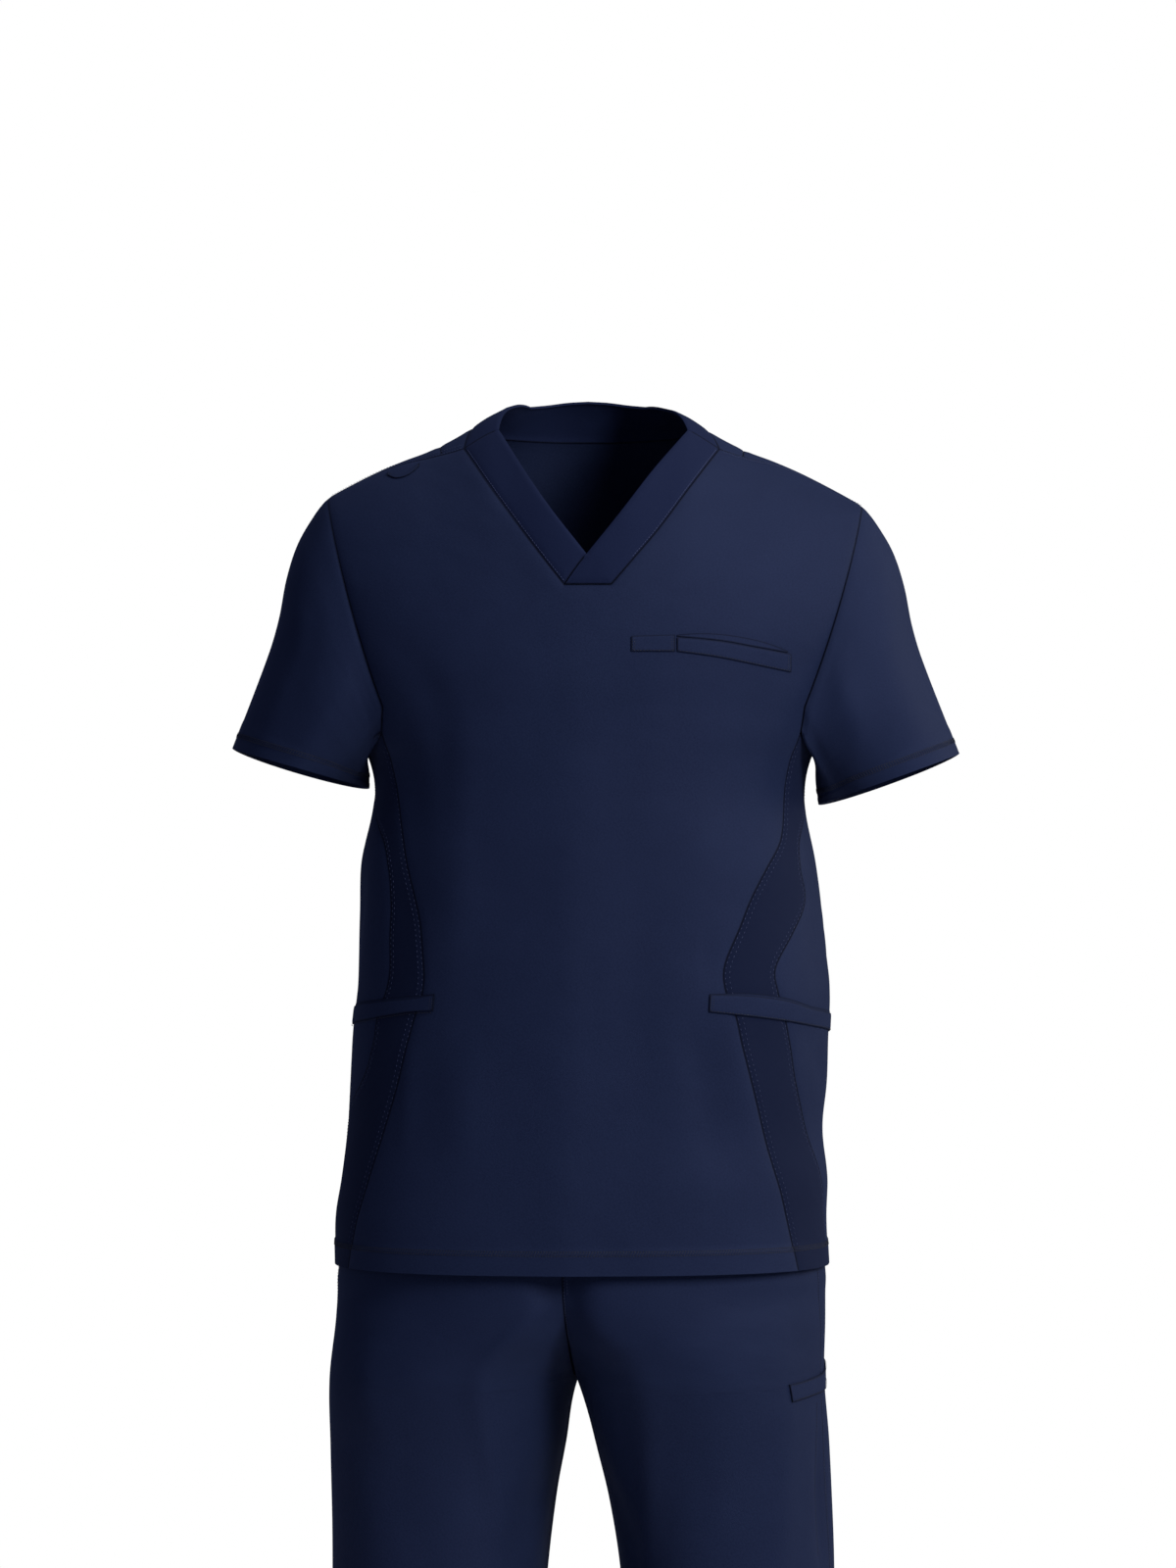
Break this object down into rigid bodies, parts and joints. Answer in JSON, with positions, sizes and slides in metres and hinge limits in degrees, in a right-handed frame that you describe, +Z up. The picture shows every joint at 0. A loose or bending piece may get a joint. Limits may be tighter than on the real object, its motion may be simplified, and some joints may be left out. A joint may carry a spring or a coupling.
{
  "type": "medical scrubs",
  "caption": "Short-sleeved V-neck medical scrub top over straight scrub trousers, hollow as worn, with welt pockets and knit side inserts.",
  "frame": {"origin": "between the shoulders, at the height of the shoulder's high point beside the neck, where the wearer holds the top up", "axes": "+Z up along the wearer, -Y the front, +X the wearer's left"},
  "size_m": [0.5783, 0.2726, 1.5788],
  "materials": {
    "woven_navy": "fine stretch twill, matt with a soft sheen",
    "knit_navy": "fine rib knit, matt"
  },
  "bodies": {
    "root": {"top_front": "woven_navy", "top_back": "woven_navy", "top_back_right": "woven_navy", "top_back_left": "woven_navy", "side_insert_right": "knit_navy", "side_insert_left": "knit_navy", "sleeve_right": "woven_navy", "sleeve_left": "woven_navy", "neckband_front_right": "knit_navy", "neckband_front_left": "knit_navy", "neckband_back": "knit_navy", "chest_pen_slot": "woven_navy", "chest_pocket_welt": "woven_navy", "chest_pocket_facing": "woven_navy", "hip_pocket_band_right": "woven_navy", "hip_pocket_band_left": "woven_navy", "badge_loop": "woven_navy", "trouser_front_right": "woven_navy", "trouser_back_right": "woven_navy", "trouser_front_left": "woven_navy", "trouser_back_left": "woven_navy", "waistband": "woven_navy", "cargo_pocket_band": "woven_navy"}
  },
  "joints": []
}
